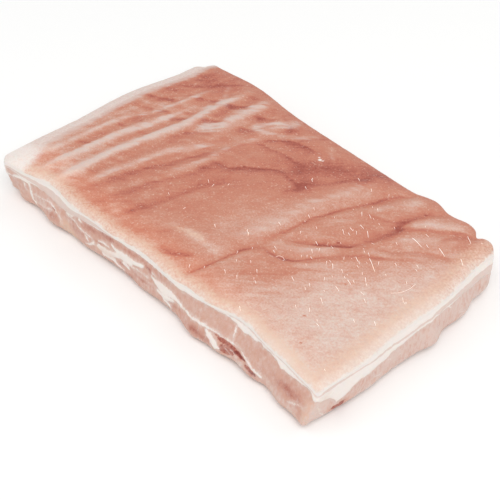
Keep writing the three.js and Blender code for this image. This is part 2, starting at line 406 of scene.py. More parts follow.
# the rind: skin with its folds, flushes and pale cut rims, the folds' light and shade partly painted into its
# colour
rindLook = {
    # from +X in plan
    "creaseTurn": math.radians(34), "fibreTurn": math.radians(50), "ridgeTurn": math.radians(83),
    "fanTurn": math.radians(42), "fanAt": (66, -50), "fanReach": (26, 34),
    "thickness": 2.6, "overlap": 0.4, "proud": 0.1, "cuts": (160, 94, 2),
    "tones": [  # from pale to deep red
        (0.0, (232, 212, 201)), (0.16, (227, 193, 178)), (0.32, (218, 168, 149)), (0.5, (209, 143, 119)),
        (0.66, (203, 129, 106)), (0.82, (190, 111, 92)), (1.0, (165, 84, 70)),
    ],
    "ridgeColour": (224, 199, 189), "creamColour": (239, 204, 181), "rimColour": (251, 240, 233),
    "speckColour": (243, 216, 199), "glowTint": (1.1, 1.0, 0.95, 1.0),
    "kept": ("tone", "ridge", "cream", "pale", "glow"),
    "middleTone": 0.5, "ridgeFade": 0.38, "sway": ((15, 1.3), (5, 0.6)), "swaySeeds": (21.0, 23.0),
    # pale ridges, partly the skin's own paler colour and partly painted light on their lit side: strength,
    # reach (or left and right reach), path
    "ridges": [
        (0.6, (3, 4), [(-133, 92), (-136, 72), (-138, 54), (-142, 36), (-147, 18), (-154, 2), (-157, -15),
                       (-159, -40), (-160, -65), (-162, -90)]),
        (0.9, 4, [(-126, 48), (-129, 33), (-132, 15), (-136, -2), (-140, -20), (-142, -45), (-144, -70),
                  (-146, -94)]),
        (1.0, 4.8, [(-108, 103), (-112, 82), (-114, 62), (-113, 45), (-114, 30), (-117, 10), (-120, -8),
                    (-123, -30), (-125, -60), (-126, -99)]),
        (0.4, 4, [(-113, 66), (-121, 80), (-132, 98)]),
        (0.85, 7, [(-85, 106), (-90, 85), (-91, 66), (-90, 50), (-97, 38), (-106, 26)]),
        (0.6, (2.5, 5.5), [(-69, 42), (-76, 26), (-83, 12), (-90, -2), (-95, -18), (-100, -42), (-104, -62),
                           (-106, -82)]),
        (0.8, 7, [(-46, 104), (-56, 88), (-65, 76), (-74, 64)]),
        (0.5, 4, [(-52, 68), (-60, 50), (-64, 32), (-64, 14), (-68, -8), (-75, -30)]),
        (0.5, 4, [(-22, 102), (-34, 86), (-50, 74), (-66, 64)]),
        (0.4, 3.5, [(-10, 100), (-2, 90), (8, 82)]), (0.35, (3, 2), [(-173, 24), (-160, 28), (-145, 35)]),
        (0.25, 3, [(-170, 10), (-158, 14), (-149, 20)]), (0.3, 3, [(-130, 70), (-117, 60)]),
        (0.3, 3, [(-140, 44), (-128, 52), (-116, 58)]), (0.3, 3, [(-108, 66), (-98, 74), (-90, 80)]),
        (0.3, 4, [(-106, 40), (-96, 46), (-86, 50)]),
        (0.45, (5, 9), [(52, 98), (46, 80), (41, 60), (35, 38), (33, 14), (31, -8), (24, -32), (14, -46)]),
        (0.4, (3, 6), [(92, 102), (84, 88), (76, 74), (68, 60)]),
        (0.5, (4, 5), [(130, 99), (118, 88), (106, 77), (99, 68)]),
        (0.4, (5, 5), [(140, 86), (126, 72), (112, 58), (101, 50)]),
        (0.3, 5, [(152, 78), (132, 58), (114, 44)]),
        (0.5, (3, 5), [(42, -18), (58, -13), (70, -3), (80, 9), (88, 17)]),
        (0.25, 4, [(50, -30), (66, -27), (80, -18), (92, -4)]), (0.3, 2.5, [(58, 22), (62, 34), (70, 46)]),
    ],
    # flushed places, a few of them painted shadow below a fold: centre, reach, amount
    "flushes": [
        (-148, 90, 15, 15, 0.36), (-134, 76, 8, 13, 0.12), (-162, 60, 7, 14, 0.18), (-126, 100, 9, 6, 0.15),
        (-103, 97, 6, 6, 0.2), (-104, 67, 5, 11, 0.26), (-77, 96, 7, 6, 0.25), (-76, 80, 8, 5, 0.22),
        (-73, 56, 6, 8, 0.3), (-148, 8, 4.5, 12, 0.2), (-151, -30, 4.5, 36, 0.2), (-124, 12, 4, 16, 0.1),
        (-103, 12, 6, 16, 0.2), (-110, -22, 6, 16, 0.14), (-116, -62, 6, 18, 0.08), (-46, 90, 6, 5, 0.26),
        (-30, 74, 8, 6, 0.12), (-2, 56, 12, 12, 0.32), (13, 42, 6, 9, 0.3), (135, 90, 8, 6, 0.2),
        (150, 86, 10, 10, 0.12), (58, 30, 13, 26, 0.02), (-60, -72, 12, 10, 0.08), (-28, -36, 18, 14, 0.04),
        (12, 76, 16, 14, 0.16), (15, -8, 16, 26, -0.1), (0, -57, 14, 4, -0.25), (22, -56, 9, 4, -0.15),
        (-22, 50, 42, 45, 0.1), (29, 62, 8, 20, 0.14), (-66, 48, 5, 18, 0.1), (104, 4, 20, 22, 0.1),
        (92, 24, 9, 8, 0.12), (97, 44, 9, 12, 0.16), (100, 58, 6, 7, 0.16), (108, 22, 14, 10, 0.05),
        (-138, -72, 22, 26, -0.24), (-100, -86, 14, 8, -0.06), (-87, 0, 6, 34, -0.04),
        (46, 66, 9, 24, -0.08), (52, -74, 36, 13, -0.12), (-20, -78, 34, 14, -0.1), (144, 50, 9, 14, -0.08),
        (-164, 8, 6, 24, -0.08), (-104, 36, 9, 5, 0.06), (82, 92, 6, 9, -0.08), (-124, 86, 6, 12, 0.1),
        (-137, 48, 6, 7, 0.08), (-92, 64, 4, 18, 0.08), (-50, 97, 12, 7, 0.12), (-65, 76, 8, 8, 0.1),
        (-34, 30, 16, 22, 0.05), (-14, 24, 12, 40, 0.05), (43, 82, 6, 12, 0.24), (14, 50, 7, 10, 0.08),
        (85, 13, 6, 7, 0.14), (125, 76, 12, 8, 0.09), (-75, 62, 7, 6, -0.14), (-110, 10, 5, 16, -0.08),
        (-104, -60, 6, 12, -0.1), (-168, -62, 7, 20, -0.2), (-148, -92, 14, 8, -0.16),
        (-124, -86, 8, 12, -0.12), (-64, -80, 12, 8, -0.14), (-57, -58, 6, 12, -0.1),
        (38, 10, 7, 34, -0.08), (36, -42, 10, 8, -0.1), (76, -64, 12, 16, -0.14), (60, 4, 8, 7, -0.06),
        (150, 38, 7, 22, -0.09), (10, -88, 60, 6, -0.06), (120, -86, 36, 5, -0.1), (-50, -8, 9, 26, 0.08),
        (56, -50, 22, 16, 0.04), (-100, 42, 9, 7, 0.17), (-79, 20, 8, 15, 0.13), (-78, -15, 12, 14, 0.1),
        (-38, -2, 15, 17, 0.11), (-22, -38, 12, 8, 0.07), (11, 33, 7, 9, 0.16), (41, 78, 9, 14, 0.16),
        (-46, 89, 9, 12, 0.12), (-95, 90, 9, 11, 0.14), (-122, 82, 6, 14, 0.12), (-20, 80, 18, 14, 0.06),
        (18, 48, 8, 8, 0.09), (115, 15, 13, 16, 0.12), (108, -6, 10, 7, 0.1), (86, 34, 13, 12, 0.07),
        (-155, 76, 8, 7, 0.07), (150, 78, 10, 12, 0.07), (72, 4, 6, 7, 0.1), (103, -38, 12, 8, 0.06),
        (-47, -66, 4, 10, 0.1), (72, 70, 8, 8, 0.07), (-112, -92, 9, 5, 0.1), (154, 98, 7, 7, 0.1),
        (116, -63, 16, 7, 0.04), (-178, 10, 6, 14, 0.1), (-158, -20, 9, 14, -0.12),
        (-163, -70, 11, 9, -0.16), (-121, -76, 6, 20, -0.14), (-69, 53, 6, 9, -0.18),
        (-147, -4, 6, 9, -0.1), (-112, 8, 5, 18, -0.08), (-134, -33, 7, 7, -0.12), (57, 43, 7, 18, -0.13),
        (62, 3, 13, 9, -0.1), (44, -12, 9, 11, -0.1), (10, -26, 13, 8, -0.07), (-5, -36, 9, 10, -0.07),
        (22, -50, 20, 5, -0.12), (46, -60, 20, 5, -0.13), (68, -78, 14, 6, -0.13), (54, -39, 11, 4, -0.1),
        (82, -52, 8, 5, -0.11), (-88, -72, 8, 10, -0.1), (-38, -72, 8, 8, -0.08), (-65, -82, 10, 5, -0.12),
        (-71, -42, 6, 6, -0.08), (12, 74, 9, 9, -0.07), (130, 94, 10, 6, -0.15), (115, 77, 6, 5, -0.1),
        (110, 31, 7, 6, -0.1), (-83, 80, 6, 5, -0.1), (150, -88, 20, 4, -0.07), (58, -92, 12, 5, -0.08),
        (-142, -100, 8, 5, -0.12), (-161, 96, 4, 10, -0.1), (-161, -35, 8, 20, -0.07),
        (-69, 50, 7, 9, -0.08), (50, 68, 8, 9, -0.1), (-130, 25, 5, 8, 0.1), (145, -40, 24, 30, -0.03),
        (20, -90, 14, 6, -0.06), (44, 20, 5, 20, -0.06),
    ],
    # dark folds and creases, partly the skin's own colour and partly painted shade; the one-sided ones are
    # painted shadow fading away below the fold: amount, reach (or left and right reach), path
    "creases": [
        (0.3, (7, 1.5), [(-66, 34), (-72, 14), (-78, 0), (-85, -18), (-92, -38), (-98, -60), (-102, -86)]),
        (0.24, (6, 2), [(-54, 30), (-57, 12), (-61, -10), (-68, -32), (-76, -54), (-85, -82)]),
        (0.22, (3, 5), [(-28, 12), (-38, -5), (-43, -22), (-48, -45), (-53, -65), (-63, -92)]),
        (0.3, (1.2, 5), [(-63, 13), (-50, 16), (-44, 18), (-36, 26), (-28, 34), (-18, 42), (-4, 47)]),
        (0.22, (1, 3), [(-8, 44), (4, 42), (15, 42)]),
        (0.24, (1, 4), [(-59, 52), (-50, 57), (-38, 58), (-26, 62), (-14, 61), (-2, 65)]),
        (0.3, (1, 4), [(-54, 60), (-45, 69), (-37, 76), (-30, 80), (-20, 81), (-8, 83)]),
        (0.2, (3, 1), [(-33, 79), (-26, 92), (-18, 103)]), (0.14, 1.5, [(-56, 52), (-60, 36), (-62, 18)]),
        (0.2, (1, 4), [(-66, 98), (-52, 92), (-42, 84)]),
        # painted shade: a broad dark band from the middle to the back right
        (0.25, 11, [(-4, 64), (16, 80), (38, 95), (62, 105)]),
        (0.16, 2.5, [(14, 47), (26, 62), (34, 76), (46, 92)]),
        (0.22, (1.5, 4), [(34, -32), (40, -5), (44, 18), (50, 42), (58, 62), (67, 84), (79, 104)]),
        (0.16, 1, [(36, -22), (40, -5), (44, 18), (50, 42), (58, 62), (67, 84), (79, 104)]),
        (0.2, 3, [(46, -24), (37, -36), (32, -50), (29, -68), (25, -90)]),
        (0.24, 0.9, [(42, -25), (36, -36), (32, -50), (29, -68), (25, -90)]),
        (0.26, (1.5, 4), [(38, -26), (52, -27), (63, -24), (73, -15), (82, -4), (88, 6), (96, 16),
                          (110, 27), (124, 40)]),
        (0.18, 1, [(40, -26), (52, -28), (63, -24), (73, -15), (81, -4), (87, 8)]),
        (0.3, (4, 1.8), [(50, -7), (60, -2), (69, 4), (78, 12), (86, 21), (91, 32)]),
        (0.26, 1.2, [(62, -1), (69, 4), (78, 12), (86, 21), (89, 30)]),
        (0.32, (5, 4), [(88, 26), (92, 42), (97, 58), (93, 68), (97, 80), (101, 92), (112, 103)]),
        (0.2, (1, 4), [(68, 56), (80, 60), (90, 67), (98, 78)]),
        (0.3, (1, 3.5), [(94, 61), (104, 69), (114, 78), (124, 88), (134, 95), (146, 101)]),
        (0.22, (1, 5), [(97, 32), (108, 37), (116, 44), (124, 52), (136, 62), (150, 69)]),
        (0.2, (1, 4), [(126, 72), (130, 84), (138, 94)]),
        (0.12, 1.8, [(103, 21), (114, 30), (128, 42), (140, 50)]),
        (0.1, 1.5, [(70, -32), (84, -20), (98, -9)]), (0.1, 1.5, [(88, -31), (100, -20), (114, -10)]),
        (0.12, 2.2, [(44, -66), (58, -54), (72, -40), (84, -24)]),
        (0.1, 2.2, [(58, -78), (74, -63), (92, -48)]), (0.1, 2.5, [(40, -50), (52, -38), (66, -32)]),
        (0.06, 1.6, [(112, -8), (128, 0), (146, 8)]),
        # painted fold shadows: each a thin dark line with a long fade on its lower side
        (0.32, (1, 5), [(-173, 35), (-163, 38), (-155, 43), (-145, 51)]),
        (0.34, (1, 5), [(-139, 60), (-129, 66), (-116, 74)]),
        (0.38, (1, 6), [(-113, 70), (-104, 79), (-94, 88)]),
        (0.34, (1, 5), [(-111, 43), (-103, 48), (-94, 55)]),
        (0.32, (1, 4), [(-147, 24), (-141, 29), (-133, 32)]),
        (0.34, (1, 4), [(-131, 25), (-125, 30), (-115, 35)]),
        (0.24, (1, 4), [(-108, 21), (-98, 29), (-85, 36)]),
        (0.24, (1, 4), [(-81, 79), (-72, 86), (-62, 91)]),
        (0.28, (1.5, 5), [(-81, 58), (-72, 63), (-64, 68)]),
        (0.18, (1, 3), [(-166, 19), (-157, 22), (-149, 27)]), (0.24, (1, 3), [(-154, -9), (-143, -7)]),
        (0.22, (1, 3), [(-135, -5), (-123, 0)]), (0.2, (1, 2.5), [(-156, -47), (-144, -44)]),
        (0.18, (1, 2.5), [(-138, -35), (-128, -31)]), (0.18, (1, 4), [(-162, 55), (-150, 60), (-141, 65)]),
        (0.2, (1, 3), [(-129, 39), (-119, 46)]),
        (0.2, 3.5, [(-163, 62), (-150, 74), (-138, 86), (-126, 102)]),
        (0.16, (1, 3), [(-114, 8), (-104, 13)]), (0.16, (1, 3), [(-115, -13), (-103, -7)]),
        (0.2, 3, [(-118, 20), (-110, 25)]), (0.16, 3, [(-14, -62), (-25, -74), (-39, -87)]),
        (0.34, 3.5, [(17, -69), (6, -77), (-10, -87)]), (0.14, 2, [(-128, -70), (-112, -64), (-100, -60)]),
        (0.1, 2, [(-74, -74), (-62, -66), (-50, -60)]), (0.7, 0.8, [(93.5, 63.3), (98.8, 63.8)]),
        (0.25, 2, [(92, 62), (100, 64)]),
    ],
    "creamRidges": [
        (0.6, 5.5, [(-30, -62), (-16, -59), (0, -57), (14, -60)]),
        (0.35, 3, [(-14, -58), (4, -55), (24, -60)]), (0.3, 7, [(-6, -24), (12, -14), (30, -2)]),
    ],
    "flakes": [(-2.5, 77.5, 1.5), (-5, 79.5, 0.9), (0, 78.5, 0.8)],  # loose white flakes: place, reach
    # dark pores: place, reach
    "pores": [(12, 45, 1.1), (13, 43, 0.8), (77, 17, 0.9), (99, 90, 0.8), (-37, 27, 0.9), (-56, -71, 1),
              (-12, 62, 0.6), (115, -55, 0.7), (132, -75, 0.7), (-143, 7, 0.8), (112, -11, 0.5)],
}


def rindTones(form):
    edges, look, flat = form.edges, rindLook, 0 * form.planX
    # every pattern wanders a little, so that none of its lines is a clean curve
    sway = [
        sum(amount * roughness(form.planX, form.planY, flat, size, seed + i)
            for i, (size, amount) in enumerate(look["sway"]))
        for seed in look["swaySeeds"]
    ]
    x, y = form.planX + sway[0], form.planY + sway[1]
    (fanX, fanY), (fanReachX, fanReachY) = look["fanAt"], look["fanReach"]
    wrinkled = ease((-x - 45) / 20)  # the left part
    across = streaks(x, y, look["creaseTurn"], 15, 4.5, 31.0)
    along = streaks(x, y, look["ridgeTurn"], 45, 5, 33.0)
    fibre = streaks(x, y, look["fibreTurn"], 14, 2.2, 32.0)
    fan = streaks(x, y, look["fanTurn"], 26, 2.6, 34.0) * bump(x, fanX, fanReachX) * bump(y, fanY, fanReachY)
    # pale ridges and dark creases: the skin's own colour together with painted light and painted shade of its
    # folds
    ridges = np.clip(strokes(x, y, look["ridges"], 0.2) * (1 + 0.75 * across + 0.6 * fibre), 0, 1) ** 1.3
    creases = strokes(x, y, look["creases"], 0.25) * (1 + 0.25 * fibre)
    # paler towards the right end, a little redder at the front left
    tone = look["middleTone"] - 0.26 * ease((x - 62) / 50) * ease((62 - y) / 60) - 0.08 * ease((x - 62) / 45)
    tone += 0.06 * ease((-y - 20) / 60) * ease((20 - x) / 60)
    # the last term darkens the skin towards the back rim: painted shade where it rolls away from the light
    tone += patches(x, y, look["flushes"]) + creases + 0.12 * ease(1 - edges["back"] / 14)
    tone += 0.07 * roughness(x, y, flat, 17) + 0.06 * roughness(x, y, flat, 6, 3.0)
    tone += (0.03 + 0.12 * wrinkled) * across + 0.07 * fibre + (0.03 + 0.09 * wrinkled) * along + 0.14 * fan
    tone -= look["ridgeFade"] * ridges * (1 - 0.4 * np.clip(creases * 3, 0, 1))
    for atX, atY, reach in look["pores"]:
        tone += 0.8 * bump(np.hypot(form.planX - atX, form.planY - atY), 0, reach)
    uneven = roughness(x, y, flat, 14, 9.0) + 0.5 * fibre
    front, right, left = (edges[side] + 1.5 * uneven for side in ("front", "right", "left"))
    # cream inside the front and right rims and along a few ridges
    cream = np.maximum(ease(1 - (front - 3) / 16) * ease((x + 185) / 20), 0.85 * ease(1 - (right - 7) / 20))
    cream = np.maximum(cream, 0.9 * strokes(x, y, look["creamRidges"], 0.3))
    glow = ease((-58 - y) / 26) * (1 - 0.6 * ease((x - 60) / 60))  # warmer along the front
    # white where the skin is cut, fading inwards, and over the front left corner
    pale = np.maximum.reduce([
        ease((1.4 - front) / 2.6), 0.45 * ease((10 - front) / 10), ease((3.5 - right) / 5),
        0.5 * ease((13 - right) / 12) * ease((125 - y) / 60), 0.5 * ease((17 - left) / 7),
        ease(form.depth / 0.9), 0.85 * ease((-x - 146 - 0.35 * (y + 100)) / 14) * ease((-y - 55) / 35),
    ])
    for atX, atY, reach in look["flakes"]:
        pale = np.maximum(pale, 1.3 * bump(np.hypot(form.planX - atX, form.planY - atY), 0, reach))
    ridges = np.maximum(ridges, 0.95 * ease((20.5 - left) / 6))  # the left rim is one pale ridge
    return np.clip(tone, 0, 1), ridges, cream, pale, glow, creases


def makeRindMaterial():
    s = Shader("rind")
    tone, ridge, cream, pale, glow = (s.kept(n) for n in rindLook["kept"])
    fine = s.grain(1.1, detail=3.0, rough=0.7)
    lines = s.grain(1.3, turn=-rindLook["creaseTurn"], stretch=(6, 1, 1), detail=3.0)
    blotch = s.grain(6, turn=-rindLook["fibreTurn"], stretch=(2.4, 1, 1), detail=3.0)
    grit = s.grain(1.5, detail=2.0, rough=0.6)
    mottled = tone + 0.25 * fine + 0.5 * grit + 0.14 * lines + 0.16 * blotch
    skin = s.ramp(mottled, [(place, colour(*c)) for place, c in rindLook["tones"]])
    skin = s.mix(glow, skin, rindLook["glowTint"], "MULTIPLY")
    # paler over the ridges: their own colour together with painted light
    ridgeShare = (ridge + 0.9 * lines + 0.5 * blotch + 0.4 * grit).step(0.1, 1.25)
    skin = s.mix(ridgeShare, skin, colour(*rindLook["ridgeColour"]))
    speckShare = (s.grain(1.7, detail=1.0) + 0.3 * blotch).step(0.13, 0.25) * 0.38
    skin = s.mix(speckShare, skin, colour(*rindLook["speckColour"]))
    speckle = s.grain(2.0, detail=3.0, rough=0.65)
    creamShare = (cream + 1.3 * speckle + 0.6 * grit + 0.35 * blotch).step(0.25, 1.2) * 0.85
    skin = s.mix(creamShare, skin, colour(*rindLook["creamColour"]))
    paleShare = (pale + 0.55 * grit + 0.45 * speckle).step(0.1, 1)
    skin = s.mix(paleShare, skin, colour(*rindLook["rimColour"]))
    height = fine * 0.6 + lines * 0.5 + s.grain(0.7, detail=2.0) * 0.35
    return s.finish(**{
        "Base Color": skin, "Roughness": 0.46 + 0.2 * fine, "Normal": s.bump(height, 0.35, 0.5),
        "Specular IOR Level": 0.35, **moist,
    })


def makeRind():
    look = rindLook
    bm = bmesh.new()
    bmesh.ops.create_cube(bm, size=1)
    cutBlock(bm, look["cuts"])
    sharpen(bm, -1)
    halve(bm, [f for f in bm.faces if f.normal.z > 0.5])
    rind = finishPiece("rind", bm, makeRindMaterial())
    co = coordinates(rind.data)
    x, y = co[:, 0] * slab["length"], co[:, 1] * slab["width"]
    form = Form(x, y, lambda height: look["thickness"] * (0.5 - co[:, 2]))
    *kept, creases = rindTones(form)
    ridges = kept[1]
    relief = 0.5 * ridges - 0.9 * np.clip(creases, 0, 0.6)
    relief += 0.22 * roughness(form.x, form.y, 0 * x, 9) + 0.12 * roughness(form.x, form.y, 0 * x, 3.5, 5.0)
    share = form.sideShares(3)
    outX = form.x + look["proud"] * (share["right"] - share["left"])
    outY = form.y + look["proud"] * (share["back"] - share["front"])
    outZ = form.z + relief * (0.5 + co[:, 2])
    placed = np.clip(np.column_stack([outX + shiftX, outY + shiftY, outZ]) * mm, low, high)
    rind.data.vertices.foreach_set("co", placed.ravel())
    for name, values in zip(look["kept"], kept):
        keep(rind.data, name, values)
    rind.data.update()
    print("rind made", len(rind.data.polygons), "faces")
    return rind


